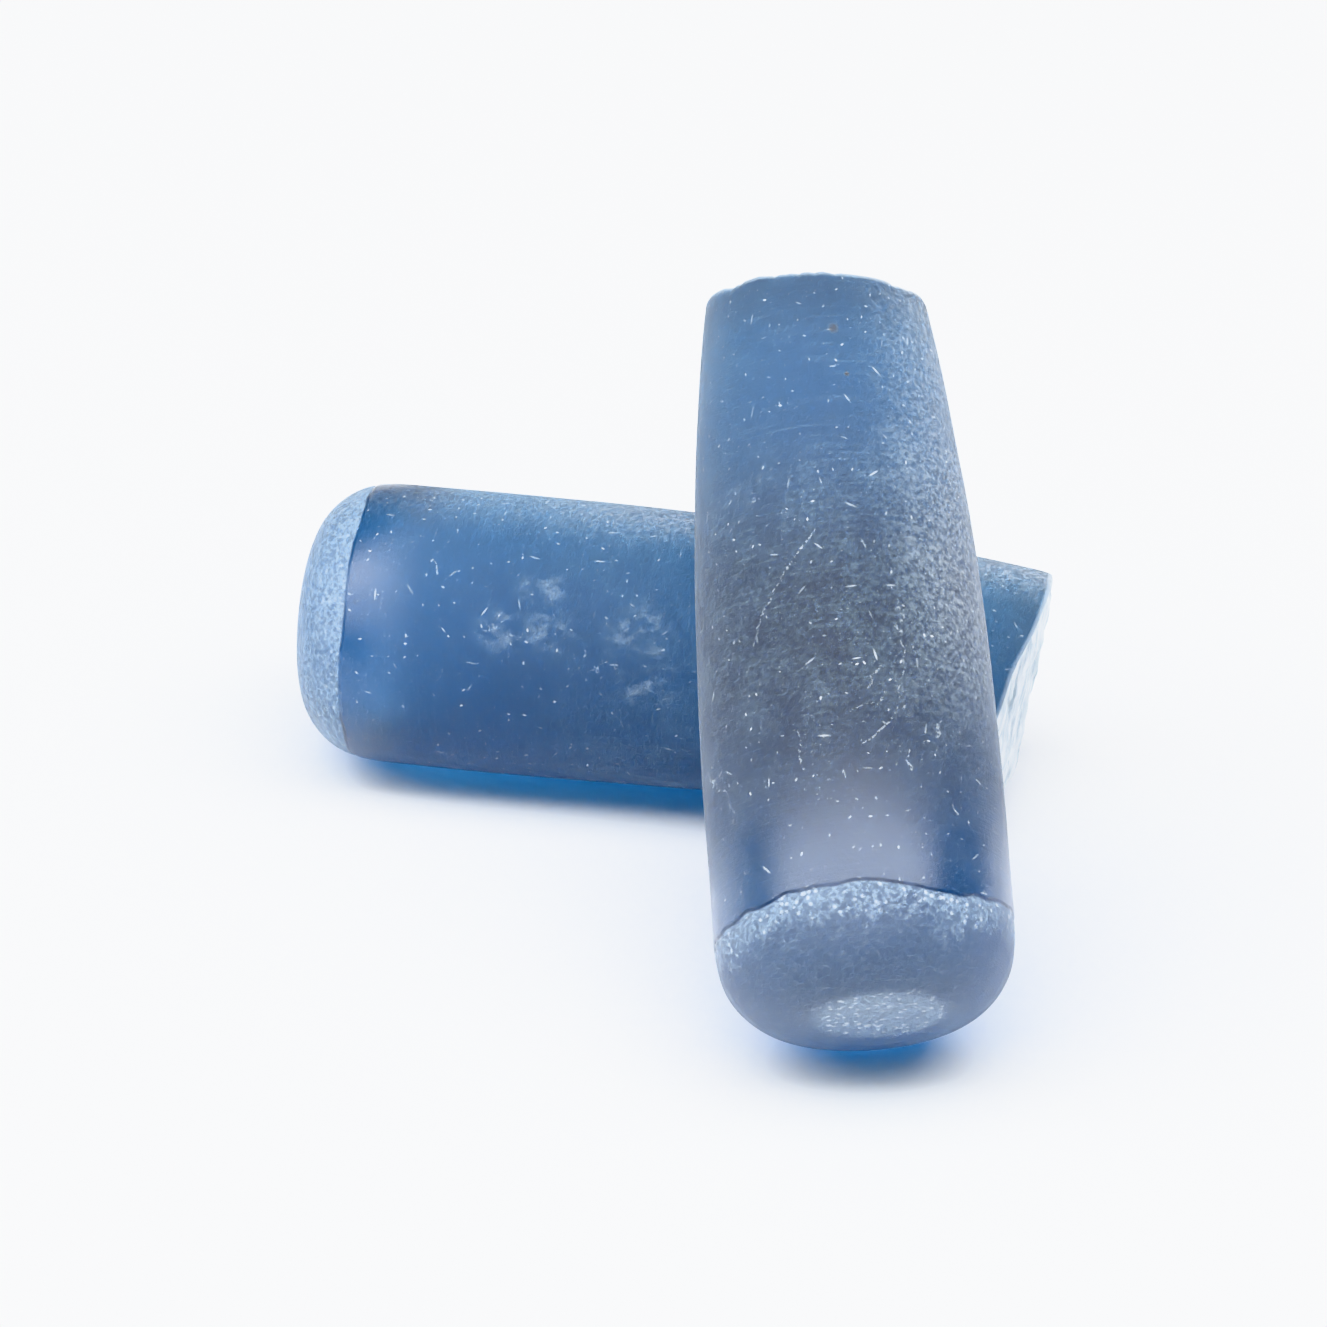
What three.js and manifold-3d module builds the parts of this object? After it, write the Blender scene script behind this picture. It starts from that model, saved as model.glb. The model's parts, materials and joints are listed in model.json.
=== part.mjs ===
// A pair of solid glass guitar slides, of the tone-bar kind that the hand holds on the strings.
// Each bar has a round nose with a small flat ground on it, a barrel that narrows away from the
// nose, and a rough broken end. One bar lies on the table, and the other leans across it with its
// nose on the table. Millimetres, +Z up, +X along the lying bar from its nose to its broken end.

import * as THREE from "three";
import { mergeVertices } from "three/addons/utils/BufferGeometryUtils.js";
import Module from "manifold-3d";

const wasm = await Module();
wasm.setup();

// The bars, measured along their axes from the flat on the nose.
const barDiameter = 25;
const barLength = 64;
const noseFlatDiameter = 11;
const noseDepth = 7.2; // the round of the nose, from its flat to the barrel
const noseRoundness = 2.2; // 2 is an ellipse, and more is squarer
const taperStart = 17.5;
const taperPower = 2.4; // 1 is a straight taper, and more comes later

// Each bar's broken face. It is `offset` past barLength on the axis, it slopes by millimetres per
// millimetre sideways and upwards, and its middle stands `crown` proud of its sides. The +x half
// falls back further, by `sideFall` at a bar's radius.
const lyingBreak = {
  endDiameter: 19.9,
  offset: 0.3,
  slopeSide: 0.02,
  slopeUp: 0.15,
  crown: 0.75,
  sideFall: 3.3,
  phase: 0.4,
};
const leaningBreak = {
  endDiameter: 19.1,
  offset: 0.8,
  slopeSide: -0.08,
  slopeUp: -0.14,
  crown: 0.4,
  sideFall: 0,
  phase: 2.1,
};
const ridgeHeight = 0.26; // the ridges that a break leaves across the glass
const ridgePitch = 4.6;
const ridgeWander = 0.8; // how far a ridge strays sideways
const breakAllowance = 5; // stock past barLength, which the break takes off

// How the leaning bar lies on the lying one.
const crossingFromNose = 45.2; // where it crosses the lying bar, along that bar from its nose
const leanPitch = THREE.MathUtils.degToRad(36);
const leanYaw = THREE.MathUtils.degToRad(14.4); // away from a square crossing, seen from above
const restGap = 0.3; // clearance between the two bars

// Facets.
const turnFacets = 64;
const noseSteps = 8;
const barrelSteps = 12;
const breakCells = 22;

const barRadius = barDiameter / 2;
const noseFlatRadius = noseFlatDiameter / 2;
const stockLength = barLength + breakAllowance;

// Radius of a bar at a distance along its axis from the flat of its nose.
function radiusAt(along, end) {
  if (along < noseDepth) {
    const toBarrel = 1 - along / noseDepth;
    const rise = Math.pow(1 - Math.pow(toBarrel, noseRoundness), 1 / noseRoundness);
    return noseFlatRadius + (barRadius - noseFlatRadius) * rise;
  }
  const tapered = Math.max(0, (along - taperStart) / (barLength - taperStart));
  return barRadius - (barRadius - end.endDiameter / 2) * Math.pow(tapered, taperPower);
}

// Distances along the axis at which the outline is sampled. They crowd towards the flat.
function outlineStations() {
  const stations = [];
  for (let i = 0; i < noseSteps; i++) {
    stations.push(noseDepth * (1 - Math.cos(((i / noseSteps) * Math.PI) / 2)));
  }
  for (let i = 0; i <= barrelSteps; i++) {
    stations.push(noseDepth + ((stockLength - noseDepth) * i) / barrelSteps);
  }
  return stations;
}

// The turned blank, along +Y with the flat of its nose at the origin.
function turnedStock(end) {
  const outline = outlineStations().map((along) => new THREE.Vector2(radiusAt(along, end), along));
  outline.unshift(new THREE.Vector2(0, 0));
  outline.push(new THREE.Vector2(0, stockLength));
  return new THREE.LatheGeometry(outline, turnFacets);
}

// Height of the broken face over barLength, at x and z across a bar that lies along +Y.
function breakHeight(x, z, end) {
  const across = x / barRadius;
  const wander = ridgeWander * Math.sin(z / ridgePitch + end.phase);
  const turn = (2 * Math.PI * (x + wander)) / ridgePitch;
  const ridges = Math.sin(turn + end.phase) + 0.5 * Math.sin(2.3 * turn + z / ridgePitch);
  const slope = end.slopeSide * x + end.slopeUp * z;
  const fall = end.sideFall * Math.pow(Math.max(0, across), 2);
  return end.offset + slope - end.crown * across * across - fall + ridgeHeight * ridges;
}

// What the break takes away: a block whose underside is the broken face.
function breakBlock(end) {
  const width = 1.2 * barDiameter;
  const height = 4 * breakAllowance;
  const block = new THREE.BoxGeometry(width, height, width, breakCells, 1, breakCells);
  block.translate(0, barLength + height / 2, 0);
  const points = block.getAttribute("position");
  for (let i = 0; i < points.count; i++) {
    if (points.getY(i) > barLength + height / 2) continue;
    points.setY(i, barLength + breakHeight(points.getX(i), points.getZ(i), end));
  }
  return block;
}

function toSolid(geometry) {
  const bare = geometry.clone();
  bare.deleteAttribute("normal");
  bare.deleteAttribute("uv");
  const merged = mergeVertices(bare);
  return new wasm.Manifold(
    new wasm.Mesh({
      numProp: 3,
      vertProperties: new Float32Array(merged.getAttribute("position").array),
      triVerts: new Uint32Array(merged.index.array),
    }),
  );
}

function toGeometry(solid) {
  const mesh = solid.getMesh();
  const geometry = new THREE.BufferGeometry();
  geometry.setAttribute("position", new THREE.BufferAttribute(mesh.vertProperties, mesh.numProp));
  geometry.setIndex(new THREE.BufferAttribute(mesh.triVerts, 1));
  const facets = geometry.toNonIndexed();
  facets.computeVertexNormals();
  return facets;
}

function glass() {
  return new THREE.MeshStandardMaterial({
    color: new THREE.Color().setRGB(0.36, 0.47, 0.6, THREE.SRGBColorSpace),
    roughness: 0.45,
    metalness: 0,
  });
}

function bar(name, end) {
  const solid = toSolid(turnedStock(end)).subtract(toSolid(breakBlock(end)));
  const mesh = new THREE.Mesh(toGeometry(solid), glass());
  mesh.name = name;
  return mesh;
}

// A direction's level side, and what is upwards square to both.
function sidesOf(axis) {
  const side = new THREE.Vector3().crossVectors(axis, new THREE.Vector3(0, 0, 1)).normalize();
  const top = new THREE.Vector3().crossVectors(side, axis);
  return { side, top };
}

// Places a bar, which lies along its own +Y, with its nose flat at `nose` and its +z side upmost.
function place(mesh, nose, axis) {
  const { side, top } = sidesOf(axis);
  mesh.quaternion.setFromRotationMatrix(new THREE.Matrix4().makeBasis(side, axis, top));
  mesh.position.copy(nose);
}

const lyingAxis = new THREE.Vector3(1, 0, 0);
const lyingNose = new THREE.Vector3(0, 0, barRadius);
const leaningAxis = new THREE.Vector3(
  -Math.sin(leanYaw) * Math.cos(leanPitch),
  Math.cos(leanYaw) * Math.cos(leanPitch),
  Math.sin(leanPitch),
);

// How far below the centre of its nose flat the leaning bar reaches.
function leaningReach() {
  const reach = (along) =>
    radiusAt(along, leaningBreak) * Math.cos(leanPitch) - along * Math.sin(leanPitch);
  return Math.max(...outlineStations().map(reach));
}

// Centre of the leaning bar's nose flat, when it is `distance` in plan from the crossing.
function leaningNoseAt(distance) {
  return new THREE.Vector3(
    crossingFromNose + distance * Math.sin(leanYaw),
    -distance * Math.cos(leanYaw),
    leaningReach(),
  );
}

// Smallest gap from points on the leaning bar's barrel to the surface of the lying bar.
function gapBetweenBars(distance) {
  const nose = leaningNoseAt(distance);
  const { side, top } = sidesOf(leaningAxis);
  let least = Infinity;
  for (let along = noseDepth; along < barLength; along += 0.5) {
    const radius = radiusAt(along, leaningBreak);
    for (let step = 0; step < 2 * turnFacets; step++) {
      const turn = (Math.PI * step) / turnFacets;
      const point = nose.clone().addScaledVector(leaningAxis, along);
      point.addScaledVector(side, radius * Math.cos(turn));
      point.addScaledVector(top, radius * Math.sin(turn));
      if (point.x < 0 || point.x > barLength) continue;
      const offAxis = Math.hypot(point.y - lyingNose.y, point.z - lyingNose.z);
      least = Math.min(least, offAxis - radiusAt(point.x, lyingBreak));
    }
  }
  return least;
}

// The leaning bar slides towards the lying one until restGap is left. Halving finds the place.
function restingDistance() {
  let touching = barRadius;
  let clear = barLength;
  for (let i = 0; i < 20; i++) {
    const middle = (touching + clear) / 2;
    if (gapBetweenBars(middle) > restGap) clear = middle;
    else touching = middle;
  }
  return clear;
}

const lyingSlide = bar("lying_slide", lyingBreak);
place(lyingSlide, lyingNose, lyingAxis);

const leaningSlide = bar("leaning_slide", leaningBreak);
place(leaningSlide, leaningNoseAt(restingDistance()), leaningAxis);

// The origin goes under the middle of the pair, on the table.
const pair = new THREE.Group();
pair.add(lyingSlide, leaningSlide);
const extent = new THREE.Box3().setFromObject(pair, true);
const middle = extent.getCenter(new THREE.Vector3());
pair.position.set(-middle.x, -middle.y, -extent.min.z);

export default pair;
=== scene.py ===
import json
import math

import bpy
import numpy as np
from mathutils import Matrix, Vector, noise
from mathutils.bvhtree import BVHTree


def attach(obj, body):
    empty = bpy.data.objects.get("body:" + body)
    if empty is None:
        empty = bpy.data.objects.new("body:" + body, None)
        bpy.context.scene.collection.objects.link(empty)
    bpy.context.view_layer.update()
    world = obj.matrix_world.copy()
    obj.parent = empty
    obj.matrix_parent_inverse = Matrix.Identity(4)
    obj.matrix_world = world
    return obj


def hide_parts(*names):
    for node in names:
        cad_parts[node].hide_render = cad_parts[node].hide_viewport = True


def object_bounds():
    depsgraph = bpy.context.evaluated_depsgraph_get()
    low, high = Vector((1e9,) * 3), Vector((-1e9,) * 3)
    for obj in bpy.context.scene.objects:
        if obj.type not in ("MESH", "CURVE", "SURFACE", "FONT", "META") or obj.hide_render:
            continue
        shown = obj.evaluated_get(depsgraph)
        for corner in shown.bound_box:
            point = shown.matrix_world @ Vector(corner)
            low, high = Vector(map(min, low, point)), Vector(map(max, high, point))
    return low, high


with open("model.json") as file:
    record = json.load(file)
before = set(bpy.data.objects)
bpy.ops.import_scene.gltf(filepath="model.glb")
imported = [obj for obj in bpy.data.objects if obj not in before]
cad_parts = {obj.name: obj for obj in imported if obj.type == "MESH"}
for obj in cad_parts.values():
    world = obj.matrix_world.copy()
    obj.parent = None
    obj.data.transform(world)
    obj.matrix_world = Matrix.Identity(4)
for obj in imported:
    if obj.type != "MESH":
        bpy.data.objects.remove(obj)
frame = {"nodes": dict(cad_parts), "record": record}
CAD_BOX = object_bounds()

MM = 0.001

# ---------------------------------------------------------------- mesh of a bar, in mm
AROUND = 240
ROW_STEP = 0.37
FINE_ROW_STEP = 0.14  # near the edge of the frosted cap
FINE_REACH = 0.9
OUTLINE_EASE = 1.4  # softens the corner between nose and barrel
EASE_START, EASE_WHOLE = 3, 6  # where along the bar that softening begins and is whole
CURVE_POINTS = 24  # between two corners of the outline
EDGE_BEND = 2.0  # the rows this near the cap's edge wander with it
RIM_EASE = 8  # neighbours on each side that even out the rim
RIM_INSET = 0.985  # share of the radius at which the broken face's height makes the rim
RIM_PASSES = 4
FLAT_RINGS = 10
BROKEN_RINGS = 34
RIM_BLEND = 7.0  # the rows over this length bend to meet the broken rim
RIM_JOIN = 0.05  # share of the way in over which the broken face leaves the rim's height
RING_CORNERS = 128  # fewest corners of facets that make a full ring on the CAD node
RAY_ASIDE = 50  # a ray at the barrel starts this far off the axis,
RAY_LIFT = 0.02  # and this far above turn 0, where the facets have their corners
RAY_BEYOND = 20  # a ray at the broken face starts this far past it
# Values that stand for "far off", where a point has no distance of that kind.
FAR_FROM_RIM = 60
FAR_PAST_CAP = 50

# ---------------------------------------------------------------- wear, in mm
WEAR_DEPTH = 0.16  # the slow unevenness of the barrel
DENT = (9, 11)  # size of its dents, across and along the bar
RIPPLE = (3.2, 4.5)
FLAT_WEAR = 0.03  # the nose flat lies this deep, and is uneven by as much
CAP_STEP = 0.05  # the frosted cap is ground this much below the barrel
GROOVE_DEPTH = 0.07
GROOVE_WIDTH = 0.16
CHIP_DEPTH = 0.45
CHIP_REACH = 1.0
HACKLE_HEIGHT = 0.16  # fine ridges of the broken face
LEDGE_HEIGHT = 0.30
GRAIN_HEIGHT = 0.05
HACKLE_START = 0.12  # share of the way in from the rim at which the detail is whole

# ---------------------------------------------------------------- glass
IOR = 1.5
# The lowest roughness. A false edge showed past the caps where it fell below about 0.25. The cause
# wasn't tested.
SMOOTHEST = 0.29
GLASS_COLOUR = (0.03, 0.41, 0.63)  # what Volume Absorption keeps of each colour
GLASS_DENSITY = 134.0
SMOOTH_TINT = (0.68, 0.85, 0.96)  # the surface just past the cap
CAP_TINT = (0.58, 0.78, 0.96)
# Dark tint of the painted shade line along the groove at the cap's edge; the groove itself is in the
# mesh.
GROOVE_SHADE_TINT = (0.20, 0.36, 0.52)
# Pale colour of the painted highlight and painted sheen down one side of each bar.
PAINTED_HIGHLIGHT_COLOUR = (0.70, 0.75, 0.82)
MARK_COLOUR = (0.90, 0.95, 1.0)
STAIN_COLOUR = (0.16, 0.13, 0.12)
BROKEN_TINT = (0.60, 0.76, 0.90)
# Pale of the painted reflection on the broken face.
BROKEN_REFLECTION_PALE = (0.86, 0.90, 0.94)
CAP_ROUGHNESS = 0.7
BROKEN_ROUGHNESS = (0.4, 0.65)
ROUGHNESS_DRIFT = 0.2
SHEEN_ROUGHNESS = 0.5
WORN_BUMP = 0.04 * MM
BROKEN_BUMP = 0.3 * MM

# ---------------------------------------------------------------- marks on the glass, in mm
BARREL_RADIUS = 12.2  # for marks laid out on the unrolled barrel
SCRATCH_WIDTH = 0.12
SCRATCH_STRENGTH = 0.55
SCRATCH_WOBBLE = 2.2
# Dashes and crystals: cells in a mm, and the share of cells that hold one. Then come a dash's
# length and width, or a crystal's reach.
LONG_DASHES = (0.30, 0.4, 0.7, 0.12)
SHORT_DASHES = (0.75, 0.30, 0.24, 0.12)
TINY_DASHES = (1.9, 0.22, 0.13, 0.08)
CRYSTALS = ((1.7, 0.6, 0.42), (0.8, 0.2, 0.26))
GROOVE_MIDDLE = 0.14  # of the painted shade line along the groove, past the cap's edge
PATCH_MIDDLE = (0.5, 0, 2.0)  # of the pale patch on the nose
PATCH_EDGE = (5.2, 6.6)  # it fades out between these distances from its middle

# Each bar's looks. A place on a bar is (millimetres from the nose flat, degrees of turn), and the
# turn is 0 at the level side and 90 at the top. Smudges and stains add a reach in mm. Haze is the
# share of the surface that is matt.
BARS = {
    "lying_slide": {
        "mount": "lying_nose_flat",
        "seed": 3.1,
        "cap_edge": 5.1,  # where the frosted cap ends
        "cap_wander": 0.5,
        "cap_haze": (0.10, 0.30),
        "edge_frost": 0.3,
        "band": (2.0, 16.0),  # past the cap's edge, the barrel turns hazy over this stretch
        "smooth_reach": 7.5,  # and it is at its roughest from here on
        "roughness": 0.85,
        "tint": (0.48, 0.71, 0.85),
        "haze": 0.020,
        "haze_run": (16, 34, 0.5, 2.2),  # the haze's share changes along the bar
        "ring_haze": 0.02,
        "far_highlight": 0.13,  # painted highlight, on the side away from x
        "side_sheen": 0.0,  # painted sheen, on the side that x points to
        "sheen": 0.12,
        "flat_patch": 0.0,  # strength of the pale patch on the nose
        "scratches": (
            ((17.5, 34), (19.5, 36)),
            ((20.0, 30), (21.0, 33)),
            ((12.5, 60), (13.4, 52)),
            ((27.0, 20), (29.5, 24)),
            ((14.0, 8), (14.4, 14)),
        ),
        "smudges": (
            (19.2, 34, 3.0),
            (22.4, 50, 3.0),
            (23.5, 34, 3.0),
            (31.2, 36, 4.0),
            (32.5, 16, 3.6),
        ),
        "smudge": 0.40,
        "stains": ((50.0, 150, 0.3),),
    },
    "leaning_slide": {
        "mount": "leaning_nose_flat",
        "seed": 8.6,
        "cap_edge": 7.45,
        "cap_wander": 1.1,
        "cap_haze": (0.06, 0.11),
        "edge_frost": 1.0,
        "band": (4.0, 25.0),
        "smooth_reach": 15.0,
        "roughness": 0.8,
        "tint": (0.42, 0.615, 0.755),
        "haze": 0.060,
        "haze_run": (42, 52, 1.0, 0.35),
        "ring_haze": 0.045,
        "far_highlight": 0.0,
        "side_sheen": 0.16,
        "sheen": 0.18,
        "flat_patch": 0.85,
        "scratches": (
            ((39.0, 103), (35.7, 116), (32.7, 126), (30.0, 131)),
            ((32.4, 72), (27.9, 72), (23.4, 75), (21.6, 80), (19.5, 92)),
            ((20.4, 115), (18.0, 114)),
            ((21.3, 167), (18.0, 153), (14.7, 145)),
            ((20.6, 163), (17.2, 149)),
            ((23.4, 83), (22.7, 94)),
            ((22.4, 59), (20.8, 60)),
            ((19.3, 73), (17.3, 74)),
            ((26.0, 84), (24.4, 88)),
            ((44.0, 130), (42.8, 128)),
        ),
        "smudges": ((24.0, 70, 4.0), (38.0, 60, 4.5), (46.0, 62, 5.0), (44.0, 132, 3.5)),
        "smudge": 0.16,
        "stains": ((57.9, 88, 0.75), (53.4, 84, 0.35)),
    },
}


# ================================================================ the bars' shape


class Bar:
    """One bar's own frame and outline, measured on its CAD node. `along` runs from the nose flat
    to the broken end, x is the level side and z is upwards, all in millimetres."""

    def __init__(self, node, look):
        self.node = node
        self.look = look
        place = next(m for m in frame["record"]["mounts"] if m["name"] == look["mount"])
        self.nose = Vector(place["pos_m"])
        self.axis = -Vector(place["axis"]).normalized()
        self.side = self.axis.cross(Vector((0, 0, 1))).normalized()
        self.top = self.side.cross(self.axis)
        mesh = frame["nodes"][node].data
        points = [self.to_bar(v.co) for v in mesh.vertices]
        faces = [tuple(p.vertices) for p in mesh.polygons]
        self.tree = BVHTree.FromPolygons([Vector(p) for p in points], faces)
        self.end = max(p[1] for p in points)
        self.curve = smooth_curve(self.measure_outline(np.array(points)))

    def to_bar(self, p):
        q = (p - self.nose) / MM
        return (q.dot(self.side), q.dot(self.axis), q.dot(self.top))

    def to_world(self, x, along, z):
        return self.nose + (self.side * x + self.axis * along + self.top * z) * MM

    def measure_outline(self, points):
        """Corners (along, radius) of the turned outline: the full rings of vertices, and then a
        straight run past the broken end."""
        radius = np.hypot(points[:, 0], points[:, 2])
        along = np.round(points[:, 1], 2)
        corners = []
        for value in np.unique(along[along < self.end - RIM_BLEND]):
            ring = radius[along == value]
            if np.sum(ring > ring.max() - 0.01) >= RING_CORNERS:
                corners.append((float(value), float(ring.max())))
        last, near_end = corners[-1], corners[-1][0] + 2
        slope = (self.radius_by_ray(near_end) - last[1]) / (near_end - last[0])
        beyond = self.end + 1
        corners.append((beyond, last[1] + slope * (beyond - last[0])))
        return corners

    def radius_by_ray(self, along):
        """Radius of the CAD node beside its corner at turn 0, from outside."""
        hit = self.tree.ray_cast(Vector((RAY_ASIDE, along, RAY_LIFT)), Vector((-1, 0, 0)))
        return math.hypot(hit[0].x, hit[0].z)

    def radius_at(self, along):
        """The outline's radius, averaged over a short stretch once the nose is past."""
        spread = OUTLINE_EASE * smooth_step(along, EASE_START, EASE_WHOLE)
        near = along + spread * np.linspace(-1, 1, 5)
        return float(np.mean(np.interp(near, self.curve[:, 0], self.curve[:, 1])))

    def break_height(self, x, z):
        """How far along the axis the broken face is, at x and z across the bar."""
        hit = self.tree.ray_cast(Vector((x, self.end + RAY_BEYOND, z)), Vector((0, -1, 0)))
        return hit[0].y

    def rim_height(self, turn):
        """How far along the axis the broken face meets the barrel."""
        along = self.end - 3
        for _ in range(RIM_PASSES):
            r = RIM_INSET * self.radius_at(along)
            along = self.break_height(r * math.cos(turn), r * math.sin(turn))
        return along

    def cap_edge(self, turn):
        """Where the frosted cap ends. It wanders round the bar."""
        k = 1.5
        spot = Vector((k * math.cos(turn), k * math.sin(turn), self.look["seed"]))
        fine = Vector((4 * spot.x, 4 * spot.y, spot.z))
        wander = noise.noise(spot) + 0.35 * noise.noise(fine)
        return self.look["cap_edge"] + self.look["cap_wander"] * wander


def smooth_curve(corners):
    """A smooth curve through the corners, as many close points. It never swings past a corner."""
    p = np.array(corners)
    t = np.concatenate([[0], np.cumsum(np.sqrt(np.hypot(*np.diff(p, axis=0).T)))])
    run = np.diff(p, axis=0) / np.diff(t)[:, None]
    slope = np.empty_like(p)
    slope[0], slope[-1] = run[0], run[-1]
    before, after = run[:-1], run[1:]
    level = before * after <= 1e-12
    slope[1:-1] = np.where(level, 0, 2 * before * after / np.where(level, 1, before + after))
    out = []
    for i in range(len(p) - 1):
        span = t[i + 1] - t[i]
        for s in np.linspace(0, 1, CURVE_POINTS, endpoint=False):
            a, b = 2 * s**3 - 3 * s**2 + 1, s**3 - 2 * s**2 + s
            c, d = -2 * s**3 + 3 * s**2, s**3 - s**2
            out.append(a * p[i] + b * span * slope[i] + c * p[i + 1] + d * span * slope[i + 1])
    out.append(p[-1])
    return np.array(out)


def outline_rows(bar):
    """Where along the axis the mesh's rows are: evenly spaced, and closer at the cap's edge."""
    step = np.hypot(*np.diff(bar.curve, axis=0).T)
    length = np.concatenate([[0], np.cumsum(step)])
    rows = []
    at = 0.0
    while at < length[-1]:
        along = float(np.interp(at, length, bar.curve[:, 0]))
        if along > bar.end:
            break
        rows.append(along)
        near_cap = abs(along - bar.look["cap_edge"]) < FINE_REACH
        at += FINE_ROW_STEP if near_cap else ROW_STEP
    rows.append(bar.end)
    return rows


def even_out(values, reach):
    """Each value of a closed ring, averaged with its neighbours."""
    shifted = [np.roll(values, k) for k in range(-reach, reach + 1)]
    return np.mean(shifted, axis=0)


def bell(value, width):
    return math.exp(-((value / width) ** 2))


def smooth_step(value, low, high):
    t = min(1.0, max(0.0, (value - low) / (high - low)))
    return t * t * (3 - 2 * t)


def barrel_wear(bar, x, along, z):
    """How far the worn surface lies below the turned outline: slow dents and faint flats."""
    seed = bar.look["seed"]
    dent = noise.noise(Vector((x / DENT[0], along / DENT[1], z / DENT[0] + seed)))
    ripple = noise.noise(Vector((x / RIPPLE[0], along / RIPPLE[1], z / RIPPLE[0] - seed)))
    return WEAR_DEPTH * (0.5 + 0.6 * dent + 0.12 * ripple)


def rim_chip(bar, turn, from_rim):
    """How deep the rim is chipped: small flakes of many sizes."""
    seed = bar.look["seed"]
    ring = Vector((4 * math.cos(turn), 4 * math.sin(turn), seed))
    flake = max(0.0, noise.noise(ring) + 0.5 * noise.noise(ring * 3.1) - 0.1)
    reach = CHIP_REACH * (0.4 + 2 * flake)
    return CHIP_DEPTH * (0.2 + 2 * flake) * max(0.0, 1 - from_rim / reach) ** 2


def broken_detail(bar, x, z, inward):
    """Fine ridges and ledges on the broken face, in mm. They die out at the rim."""
    seed = bar.look["seed"]
    drift = 1.5 * noise.noise(Vector((x / 6, z / 6, seed)))
    hackle = noise.noise(Vector(((x + drift) * 1.6, z * 0.22, seed)))
    ledge = noise.noise(Vector(((x - drift) * 0.5, z * 0.35, -seed)))
    grain = noise.noise(Vector((x * 2.3, z * 2.3, seed)))
    height = HACKLE_HEIGHT * hackle + LEDGE_HEIGHT * abs(ledge) + GRAIN_HEIGHT * grain
    return height * smooth_step(inward, 0.0, HACKLE_START)


def bar_mesh(bar):
    """The bar as one closed mesh, with its own millimetres kept as attributes for the shaders."""
    turns = [2 * math.pi * j / AROUND for j in range(AROUND)]
    rims = even_out([bar.rim_height(turn) for turn in turns], RIM_EASE)
    edges = [bar.cap_edge(turn) for turn in turns]
    points, past_cap, from_rim = [], [], []

    def add(x, along, z, past, rim):
        points.append((x, along, z))
        past_cap.append(past)
        from_rim.append(rim)

    flat_radius = bar.radius_at(0.0)
    cap_edge = bar.look["cap_edge"]
    add(0, FLAT_WEAR, 0, -cap_edge, FAR_FROM_RIM)
    for i in range(1, FLAT_RINGS):
        for turn in turns:
            r = flat_radius * i / FLAT_RINGS
            x, z = r * math.cos(turn), r * math.sin(turn)
            along = FLAT_WEAR + FLAT_WEAR * noise.noise(Vector((x / 2, z / 2, 1)))
            add(x, along, z, -cap_edge, FAR_FROM_RIM)

    rows = outline_rows(bar)
    bend_from = bar.end - RIM_BLEND
    for row in rows:
        for turn, rim, edge in zip(turns, rims, edges):
            along = row + (edge - cap_edge) * bell(row - cap_edge, EDGE_BEND)
            if along > bend_from:
                along = bend_from + (along - bend_from) * (rim - bend_from) / RIM_BLEND
            r = bar.radius_at(along)
            x, z = r * math.cos(turn), r * math.sin(turn)
            past = along - edge
            below = barrel_wear(bar, x, along, z) * smooth_step(along, 0, 2)
            below += CAP_STEP * (1 - smooth_step(past, -0.15, 0.15)) * smooth_step(along, 0, 1)
            below += GROOVE_DEPTH * bell(past, GROOVE_WIDTH)
            below += rim_chip(bar, turn, rim - along)
            scale = (r - below) / r
            add(x * scale, along, z * scale, past, rim - along)

    rim_start = len(points) - AROUND
    rim_points = points[rim_start:]
    for i in range(1, BROKEN_RINGS):
        inward = i / BROKEN_RINGS
        on_face = min(1.0, inward / RIM_JOIN)
        for rim_x, rim_along, rim_z in rim_points:
            x, z = rim_x * (1 - inward), rim_z * (1 - inward)
            height = bar.break_height(x, z) * on_face + rim_along * (1 - on_face)
            add(x, height + broken_detail(bar, x, z, inward), z, FAR_PAST_CAP, 0)
    add(0, bar.break_height(0, 0) + broken_detail(bar, 0, 0, 1), 0, FAR_PAST_CAP, 0)

    faces, broken = [], []
    ring_count = (len(points) - 2) // AROUND
    for j in range(AROUND):
        faces.append((0, 1 + j, 1 + (j + 1) % AROUND))
        broken.append(False)
    for ring in range(ring_count - 1):
        here, there = 1 + ring * AROUND, 1 + (ring + 1) * AROUND
        for j in range(AROUND):
            k = (j + 1) % AROUND
            faces.append((here + j, there + j, there + k, here + k))
            broken.append(here >= rim_start)
    last, centre = 1 + (ring_count - 1) * AROUND, len(points) - 1
    for j in range(AROUND):
        faces.append((last + j, centre, last + (j + 1) % AROUND))
        broken.append(True)

    mesh = bpy.data.meshes.new(bar.node + "_worn")
    mesh.from_pydata([bar.to_world(*p) for p in points], [], faces)
    place = mesh.attributes.new("bar_mm", "FLOAT_VECTOR", "POINT")
    place.data.foreach_set("vector", np.array(points, dtype=np.float32).ravel())
    for name, values in (("past_cap", past_cap), ("from_rim", from_rim)):
        layer = mesh.attributes.new(name, "FLOAT", "POINT")
        layer.data.foreach_set("value", np.array(values, dtype=np.float32))
    mesh.polygons.foreach_set("use_smooth", [True] * len(faces))
    mesh.polygons.foreach_set("material_index", [int(b) for b in broken])
    sharp_rim(mesh, rim_start)
    mesh.validate()
    mesh.update()
    return mesh


def sharp_rim(mesh, rim_start):
    """The rim stays a crisp edge under smooth shading."""
    sharp = mesh.attributes.new("sharp_edge", "BOOLEAN", "EDGE")
    for edge in mesh.edges:
        on_rim = all(rim_start <= v < rim_start + AROUND for v in edge.vertices)
        sharp.data[edge.index].value = on_rim


# ================================================================ materials


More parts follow.
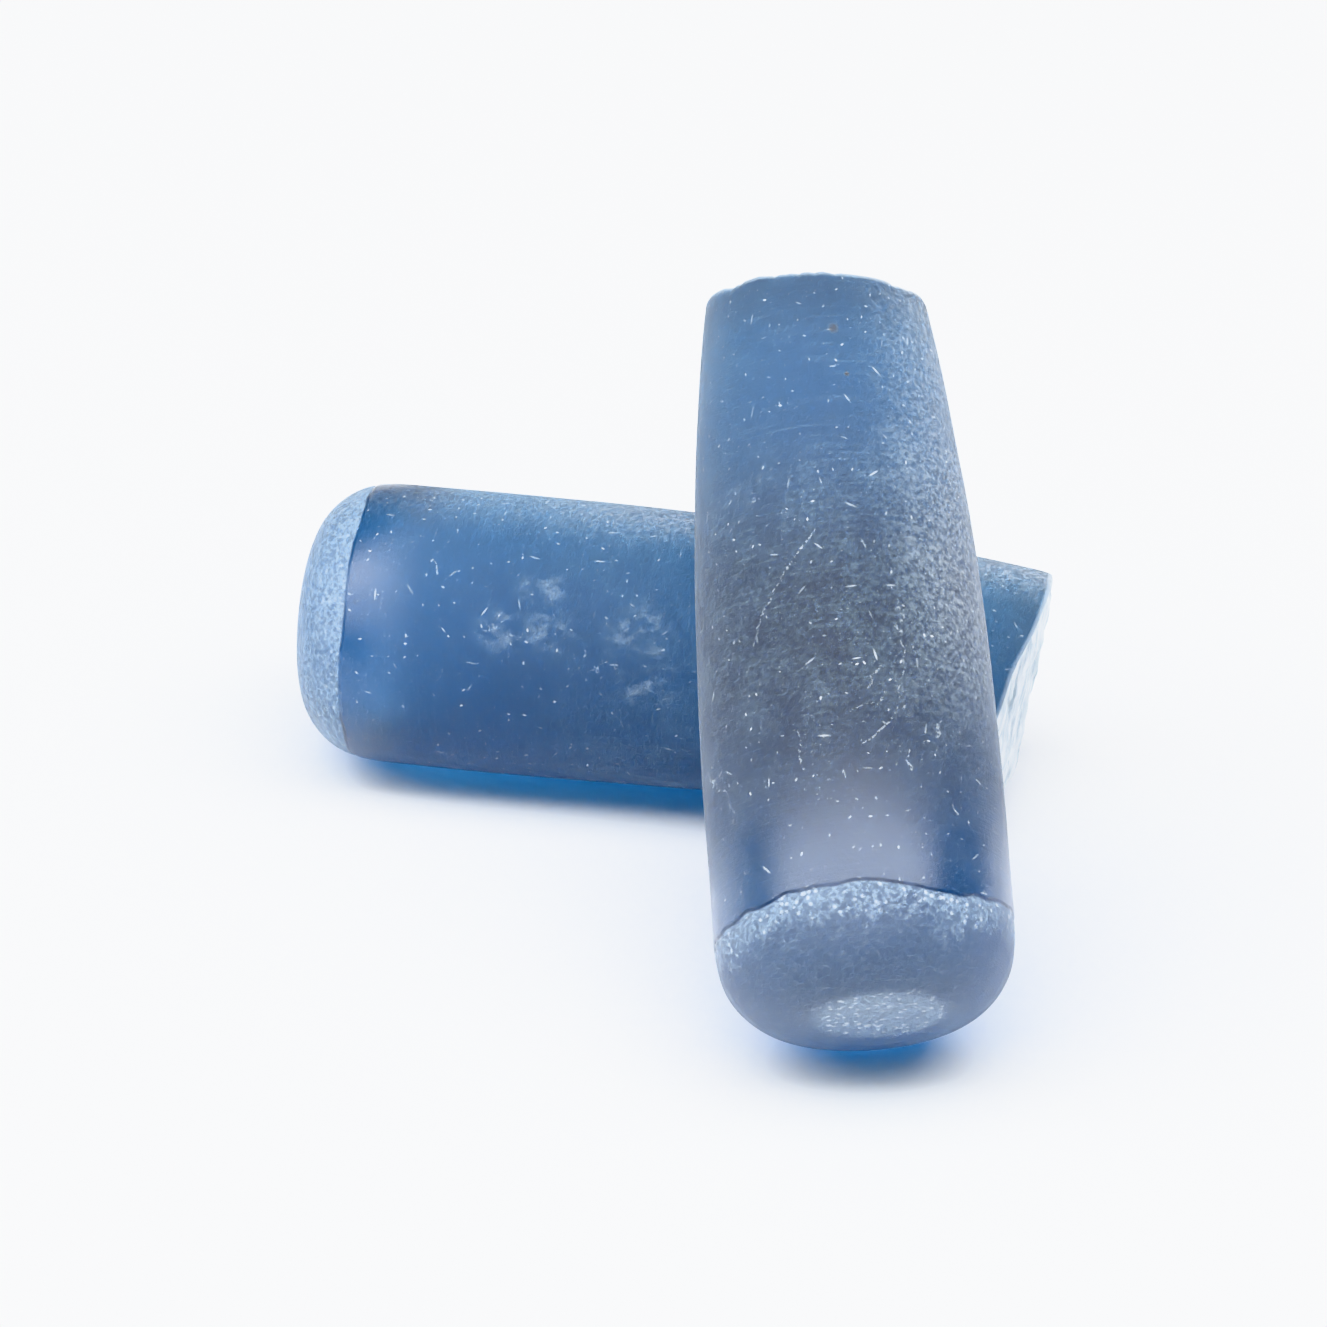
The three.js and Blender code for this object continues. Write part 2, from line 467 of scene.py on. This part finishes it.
class Shader:
    """Short names for the nodes of one material's tree."""

    def __init__(self, name):
        self.material = bpy.data.materials.new(name)
        self.material.use_nodes = True
        self.tree = self.material.node_tree
        self.bsdf = self.tree.nodes["Principled BSDF"]
        self.output = self.tree.nodes["Material Output"]

    def link(self, value, socket):
        if isinstance(value, bpy.types.NodeSocket):
            self.tree.links.new(value, socket)
        else:
            socket.default_value = value

    def add(self, kind, inputs, **settings):
        node = self.tree.nodes.new("ShaderNode" + kind)
        for key, value in settings.items():
            setattr(node, key, value)
        for name, value in inputs.items():
            self.link(value, node.inputs[name])
        return node

    def attribute(self, name, output):
        return self.add("Attribute", {}, attribute_name=name).outputs[output]

    def math(self, operation, a, b=0.0, c=0.0, clamp=False):
        return self.add("Math", {0: a, 1: b, 2: c}, operation=operation, use_clamp=clamp).outputs[0]

    def vector(self, operation, a, b=(0, 0, 0)):
        node = self.add("VectorMath", {0: a, 1: b}, operation=operation)
        gives_number = operation in ("LENGTH", "DISTANCE", "DOT_PRODUCT")
        return node.outputs["Value" if gives_number else "Vector"]

    def step(self, value, low, high, start=0.0, end=1.0):
        """start below `low`, end above `high`, and smooth between."""
        inputs = {"Value": value, "From Min": low, "From Max": high, "To Min": start, "To Max": end}
        return self.add("MapRange", inputs, interpolation_type="SMOOTHSTEP").outputs["Result"]

    def noise(self, place, scale, detail=2.0, roughness=0.5, stretch=(1, 1, 1), offset=0.0):
        where = self.vector("MULTIPLY", place, stretch)
        if offset:
            where = self.vector("ADD", where, (offset, offset, offset))
        inputs = {"Vector": where, "Scale": scale, "Detail": detail, "Roughness": roughness}
        return self.add("TexNoise", inputs).outputs["Fac"]

    def mix(self, factor, a, b):
        node = self.add("Mix", {"Factor": factor}, data_type="RGBA")
        self.link(a if isinstance(a, bpy.types.NodeSocket) else (*a, 1), node.inputs[6])
        self.link(b if isinstance(b, bpy.types.NodeSocket) else (*b, 1), node.inputs[7])
        return node.outputs[2]

    def fade(self, factor, a, b):
        return self.add("Mix", {0: factor, 2: a, 3: b}, data_type="FLOAT").outputs[0]

    def largest(self, *values):
        out = values[0]
        for value in values[1:]:
            out = self.math("MAXIMUM", out, value)
        return out

    def bump(self, height, distance, strength):
        inputs = {"Height": height, "Distance": distance, "Strength": strength}
        return self.add("Bump", inputs).outputs["Normal"]


def glass_shader(name):
    """Glass whose body takes light away, ready for its surface."""
    s = Shader(name)
    s.bsdf.inputs["IOR"].default_value = IOR
    inputs = {"Color": (*GLASS_COLOUR, 1), "Density": GLASS_DENSITY}
    absorb = s.add("VolumeAbsorption", inputs)
    s.link(absorb.outputs[0], s.output.inputs["Volume"])
    return s


def unrolled(s, place):
    """The barrel laid flat, in mm: round the bar from its top towards its side, and along it."""
    xyz = s.add("SeparateXYZ", {"Vector": place}).outputs
    turn = s.math("ARCTAN2", xyz["X"], xyz["Z"])
    around = s.math("MULTIPLY", turn, BARREL_RADIUS)
    return s.add("CombineXYZ", {"X": around, "Y": xyz["Y"]}).outputs[0]


def on_barrel(along, turn):
    """A place on the bar as a point of the unrolled barrel."""
    return (math.radians(90 - turn) * BARREL_RADIUS, along, 0)


def line_mask(s, flat, start, end, width):
    """1 on the line from start to end of the unrolled barrel, and 0 off it."""
    run = Vector(end) - Vector(start)
    offset = s.vector("SUBTRACT", flat, start)
    reached = s.vector("DOT_PRODUCT", offset, tuple(run))
    share = s.math("DIVIDE", reached, run.length_squared, clamp=True)
    nearest = s.add("VectorMath", {0: tuple(run), "Scale": share}, operation="SCALE").outputs[0]
    return s.step(s.vector("DISTANCE", offset, nearest), 0.4 * width, width, 1, 0)


def scratches(s, bar, flat, place):
    """The long scratches, each a chain of lines, uneven and broken into dots."""
    wobble = s.noise(place, 0.9, 2, offset=1.7)
    shift = s.math("MULTIPLY", s.math("SUBTRACT", wobble, 0.5), SCRATCH_WOBBLE)
    bent = s.vector("ADD", flat, s.add("CombineXYZ", {"X": shift, "Y": shift}).outputs[0])
    masks = []
    for chain in bar.look["scratches"]:
        ends = [on_barrel(*end) for end in chain]
        masks += [line_mask(s, bent, a, b, SCRATCH_WIDTH) for a, b in zip(ends, ends[1:])]
    broken = s.step(s.noise(place, 3.6, 2, 0.6, offset=4.2), 0.46, 0.56)
    return s.math("MULTIPLY", s.largest(*masks), broken)


def dashes(s, flat, cells, keep, length, width):
    """Short dashes strewn at random: at most one in each cell, each turned its own way."""
    cell = s.add("TexVoronoi", {"Vector": flat, "Scale": cells}, voronoi_dimensions="2D").outputs
    chance = s.add("SeparateXYZ", {"Vector": cell["Color"]}).outputs
    angle = s.math("MULTIPLY", chance["X"], math.pi)
    offset = s.vector("SUBTRACT", flat, cell["Position"])
    inputs = {"Vector": offset, "Angle": angle}
    turned = s.add("VectorRotate", inputs, rotation_type="Z_AXIS").outputs[0]
    scaled = s.vector("DIVIDE", turned, (length, width, 1))
    size = s.fade(chance["Z"], 0.4, 1.0)
    shape = s.step(s.math("DIVIDE", s.vector("LENGTH", scaled), size), 0.5, 1.0, 1, 0)
    return s.math("MULTIPLY", shape, s.math("LESS_THAN", chance["Y"], keep))


def sparkles(s, place, cells, keep, reach):
    """Bright dots of many sizes: where the surface cuts a few of the cells' middles."""
    cell = s.add("TexVoronoi", {"Vector": place, "Scale": cells}).outputs
    chance = s.add("SeparateXYZ", {"Vector": cell["Color"]}).outputs
    dot = s.step(cell["Distance"], 0.4 * reach, reach, 1, 0)
    return s.math("MULTIPLY", dot, s.math("LESS_THAN", chance["Y"], keep))


def patches(s, flat, spots, ragged):
    """Soft round patches at places on the barrel, ragged by a noise."""
    masks = []
    for along, turn, reach in spots:
        gap = s.vector("DISTANCE", flat, on_barrel(along, turn))
        masks.append(s.step(gap, 0.2 * reach, reach, 1, 0))
    return s.math("MULTIPLY", s.largest(*masks), ragged)


def painted_groove_shade(s, past_cap, cloud):
    """Painted shade: the thin dark line along the groove at the cap's edge, fainter in places."""
    off_middle = s.math("ABSOLUTE", s.math("SUBTRACT", past_cap, GROOVE_MIDDLE))
    line = s.step(off_middle, 0.04, 0.20, 1, 0)
    return s.math("MULTIPLY", line, s.step(cloud, 0.40, 0.60, 0.2, 1.0))


def frosting(s, look, place, past_cap, coarse):
    """Where the ground cap is paler: a ragged band along its edge, and a round patch on the nose."""
    reach = s.step(s.noise(place, 0.3, 2, offset=look["seed"]), 0.3, 0.75, -1.2, -5.0)
    band = s.step(s.math("MULTIPLY_ADD", coarse, 1.6, past_cap), reach, 1.2)
    along = s.add("SeparateXYZ", {"Vector": place}).outputs["Y"]
    off_axis = s.vector("MULTIPLY", place, (1, 0, 1))
    from_middle = s.vector("DISTANCE", off_axis, PATCH_MIDDLE)
    ragged = s.math("MULTIPLY_ADD", coarse, 0.9, from_middle)
    patch = s.step(ragged, *PATCH_EDGE, look["flat_patch"], 0)
    patch = s.math("MULTIPLY", patch, s.step(along, 3, 4, 1, 0))
    return s.largest(s.math("MULTIPLY", band, look["edge_frost"]), patch)


def painted_highlight_haze(s, look, place, coarse):
    """Painted highlight and painted sheen, as pale matt haze: the highlight down the side away from
    x, the sheen down the side that x points to.
    """
    xyz = s.add("SeparateXYZ", {"Vector": place}).outputs
    far = s.math("MULTIPLY", s.step(xyz["X"], -2.5, 4.0, 1, 0), s.step(xyz["Y"], 12, 36, 0.5, 1.6))
    far = s.math("MULTIPLY", far, look["far_highlight"])
    side = s.step(xyz["Y"], 16, 36, 0, look["side_sheen"])
    side = s.math("MULTIPLY", s.step(xyz["X"], 1.0, 10.0), side)
    return s.math("MULTIPLY", s.math("ADD", far, side), s.fade(coarse, 0.7, 1.3))


def barrel_haze(s, look, place, worn, cloud, lathe, coarse, painted_highlight):
    """The haze of the whole barrel: slight past the cap, cloudy, with faint rings round the bar, and
    with the painted highlight and sheen added.
    """
    along = s.add("SeparateXYZ", {"Vector": place}).outputs["Y"]
    haze = s.math("MULTIPLY", s.fade(worn, 0.4, 1.0), look["haze"])
    haze = s.math("MULTIPLY", haze, s.step(cloud, 0.3, 0.7, 0.6, 1.5))
    haze = s.math("MULTIPLY", haze, s.step(along, *look["haze_run"]))
    haze = s.math("ADD", haze, painted_highlight)
    rings = s.math("MULTIPLY", s.step(lathe, 0.50, 0.72), worn)
    haze = s.math("MULTIPLY_ADD", rings, look["ring_haze"], haze)
    return s.math("MULTIPLY", haze, s.fade(coarse, 0.45, 1.55))


def wear_marks(s, bar, place, cloud, cap, frost):
    """Small pale marks: dashes and scratches on the barrel, crystals on the cap, smudges, and a
    bruised rim."""
    look = bar.look
    flat = unrolled(s, place)
    specks = s.largest(
        s.math("MULTIPLY", dashes(s, flat, *LONG_DASHES), 0.8),
        dashes(s, flat, *SHORT_DASHES),
        s.math("MULTIPLY", dashes(s, flat, *TINY_DASHES), 0.45),
    )
    specks = s.math("MULTIPLY", specks, s.step(cloud, 0.35, 0.65, 0.45, 1.0))
    crystals = s.largest(*(sparkles(s, place, *kind) for kind in CRYSTALS))
    on_frost = s.fade(cap, 0.0, s.fade(frost, 0.12, 0.8))
    ragged = s.step(s.noise(place, 0.9, 3, 0.7, stretch=(1, 0.6, 1), offset=2.9), 0.42, 0.72)
    return s.largest(
        s.fade(cap, specks, 0.0),
        s.math("MULTIPLY", scratches(s, bar, flat, place), SCRATCH_STRENGTH),
        s.math("MULTIPLY", crystals, on_frost),
        s.math("MULTIPLY", patches(s, flat, look["smudges"], ragged), look["smudge"]),
        s.step(s.attribute("from_rim", "Fac"), 0.1, 0.45, 0.6, 0),
    )


def worn_glass(bar):
    """The turned surface: a frosted cap, then smooth glass that turns hazy and scratched."""
    s = glass_shader(bar.node + "_worn_glass")
    look = bar.look
    seed = look["seed"]
    place = s.attribute("bar_mm", "Vector")
    past_cap = s.attribute("past_cap", "Fac")

    grain = s.noise(place, 2.4, 3, 0.7, offset=seed)
    cloud = s.noise(place, 0.25, 3, 0.6, offset=seed)
    lathe = s.noise(place, 1.0, 2, 0.65, stretch=(0.12, 3.2, 0.12), offset=seed)
    coarse = s.step(grain, 0.35, 0.65)

    edge = s.math("MULTIPLY_ADD", grain, 0.5, s.math("SUBTRACT", past_cap, 0.25))
    cap = s.step(edge, -0.10, 0.10, 1, 0)
    # Painted shade: a dark, clear line along the real groove at the cap's edge.
    groove = painted_groove_shade(s, past_cap, cloud)
    worn = s.step(past_cap, *look["band"])
    frost = s.math("MULTIPLY", frosting(s, look, place, past_cap, coarse), cap)
    # Painted highlight and painted sheen: pale matt haze down one side of each bar.
    painted_highlight = painted_highlight_haze(s, look, place, coarse)
    marks = wear_marks(s, bar, place, cloud, cap, frost)
    stain = patches(s, unrolled(s, place), look["stains"], s.fade(coarse, 0.8, 1.0))

    haze = barrel_haze(s, look, place, worn, cloud, lathe, coarse, painted_highlight)
    haze = s.fade(cap, haze, s.fade(coarse, *look["cap_haze"]))
    haze = s.math("MULTIPLY_ADD", frost, s.fade(coarse, 0.08, 0.26), haze)
    haze = s.math("MULTIPLY_ADD", marks, 0.45, haze)
    haze = s.fade(groove, haze, 0.0)
    haze = s.math("MULTIPLY_ADD", stain, 0.2, haze)
    s.link(s.math("SUBTRACT", 1, haze, clamp=True), s.bsdf.inputs["Transmission Weight"])

    colour = s.mix(worn, SMOOTH_TINT, look["tint"])
    # The painted highlight and sheen turn the colour pale.
    colour = s.mix(s.math("MULTIPLY", painted_highlight, 3.5, clamp=True), colour, PAINTED_HIGHLIGHT_COLOUR)
    colour = s.mix(cap, colour, CAP_TINT)
    colour = s.mix(marks, colour, MARK_COLOUR)
    # The painted shade line turns the colour dark.
    colour = s.mix(groove, colour, GROOVE_SHADE_TINT)
    s.link(s.mix(stain, colour, STAIN_COLOUR), s.bsdf.inputs["Base Color"])

    rough = s.step(past_cap, 0.5, look["smooth_reach"], SMOOTHEST, look["roughness"])
    rough = s.math("MULTIPLY_ADD", s.math("SUBTRACT", cloud, 0.5), ROUGHNESS_DRIFT, rough)
    rough = s.math("MAXIMUM", s.fade(cap, rough, CAP_ROUGHNESS), SMOOTHEST)
    s.link(rough, s.bsdf.inputs["Roughness"])
    s.bsdf.inputs["Sheen Weight"].default_value = look["sheen"]
    s.bsdf.inputs["Sheen Roughness"].default_value = SHEEN_ROUGHNESS
    grind = s.math("MULTIPLY_ADD", lathe, 0.6, grain)
    s.link(s.bump(grind, WORN_BUMP, 0.7), s.bsdf.inputs["Normal"])
    return s.material


def broken_glass(bar):
    """The broken face: a painted reflection of the white surroundings makes it pale, with bluer
    streaks where it is clearer. The streaks follow its ridges.
    """
    s = glass_shader(bar.node + "_broken_glass")
    seed = bar.look["seed"]
    place = s.attribute("bar_mm", "Vector")
    streak = s.noise(place, 1.0, 4, 0.6, stretch=(1.6, 0.2, 0.22), offset=seed)
    grain = s.noise(place, 3.0, 3, 0.6, offset=seed)
    # Painted reflection: where the broken face is painted pale and almost opaque.
    pale = s.step(streak, 0.32, 0.60)
    s.link(s.mix(pale, BROKEN_TINT, BROKEN_REFLECTION_PALE), s.bsdf.inputs["Base Color"])
    s.link(s.step(grain, 0.3, 0.7, *BROKEN_ROUGHNESS), s.bsdf.inputs["Roughness"])
    s.link(s.fade(pale, 0.50, 0.12), s.bsdf.inputs["Transmission Weight"])
    relief = s.math("MULTIPLY_ADD", grain, 0.2, streak)
    s.link(s.bump(relief, BROKEN_BUMP, 0.6), s.bsdf.inputs["Normal"])
    return s.material


def make_bar(node, look):
    """The finer mesh of a bar, in the place of its CAD node."""
    bar = Bar(node, look)
    mesh = bar_mesh(bar)
    mesh.materials.append(worn_glass(bar))
    mesh.materials.append(broken_glass(bar))
    piece = bpy.data.objects.new(node + "_glass", mesh)
    bpy.context.collection.objects.link(piece)
    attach(piece, node)
    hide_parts(node)


# ================================================================ table, light and camera

CAMERA_AZIMUTH = math.radians(10.0)
CAMERA_ELEVATION = math.radians(32.0)
CAMERA_DISTANCE = 0.4869
CAMERA_LENS = 156.3
CAMERA_AIM = Vector((0.0011, 0.0, -0.0031))  # from the middle of the CAD box
CLIP_START = 0.01

LIGHT_HEIGHT = 1.0
# Middles are to the camera's right, and away from it.
SOFTBOX = {"size": (3.4, 0.65), "middle": (-0.6, -0.18), "radiance": 8.0}
# A card towards the camera that the glass mirrors, and that lights nothing else.
CARD = {"size": (3.4, 1.5), "middle": (-0.6, -1.26), "radiance": 4.5}
ROOM_RADIANCE = 0.05
ROOM_COLOUR = (0.9, 0.95, 1.0)
TABLE_SIZE = 8.0
TABLE_COLOUR = (0.94, 0.945, 0.955)
TABLE_ROUGHNESS = 0.9
TABLE_SHINE = 0.1


def make_table():
    half = TABLE_SIZE / 2
    mesh = bpy.data.meshes.new("table")
    corners = [(-half, -half, 0), (half, -half, 0), (half, half, 0), (-half, half, 0)]
    mesh.from_pydata(corners, [], [(0, 1, 2, 3)])
    shader = Shader("pale_table")
    shader.bsdf.inputs["Base Color"].default_value = (*TABLE_COLOUR, 1)
    shader.bsdf.inputs["Roughness"].default_value = TABLE_ROUGHNESS
    shader.bsdf.inputs["Specular IOR Level"].default_value = TABLE_SHINE
    mesh.materials.append(shader.material)
    table = bpy.data.objects.new("table", mesh)
    bpy.context.collection.objects.link(table)


def make_light(name, panel):
    light = bpy.data.lights.new(name, "AREA")
    light.shape = "RECTANGLE"
    light.size, light.size_y = panel["size"]
    light.energy = panel["radiance"] * math.pi * light.size * light.size_y
    lamp = bpy.data.objects.new(name, light)
    turned = Matrix.Rotation(CAMERA_AZIMUTH, 3, "Z")
    lamp.location = turned @ Vector((*panel["middle"], LIGHT_HEIGHT))
    lamp.rotation_euler = (0, 0, CAMERA_AZIMUTH)
    lamp.visible_camera = False
    bpy.context.collection.objects.link(lamp)
    return lamp


def make_lights():
    make_light("softbox", SOFTBOX)
    card = make_light("card", CARD)
    card.visible_diffuse = False
    card.visible_transmission = False
    world = bpy.data.worlds.new("room")
    world.use_nodes = True
    background = world.node_tree.nodes["Background"]
    background.inputs["Color"].default_value = (*ROOM_COLOUR, 1)
    background.inputs["Strength"].default_value = ROOM_RADIANCE
    bpy.context.scene.world = world


def make_camera():
    low, high = (Vector(corner) for corner in CAD_BOX)
    aim = (low + high) / 2 + CAMERA_AIM
    level, up = math.cos(CAMERA_ELEVATION), math.sin(CAMERA_ELEVATION)
    away = Vector((math.sin(CAMERA_AZIMUTH) * level, -math.cos(CAMERA_AZIMUTH) * level, up))
    camera = bpy.data.objects.new("camera", bpy.data.cameras.new("camera"))
    camera.data.lens = CAMERA_LENS
    camera.data.clip_start = CLIP_START
    camera.location = aim + away * CAMERA_DISTANCE
    camera.rotation_euler = away.to_track_quat("Z", "Y").to_euler()
    bpy.context.collection.objects.link(camera)
    bpy.context.scene.camera = camera
    bpy.context.scene.view_settings.view_transform = "Khronos PBR Neutral"


make_camera()
make_lights()
make_table()
for node_name, bar_look in BARS.items():
    make_bar(node_name, bar_look)
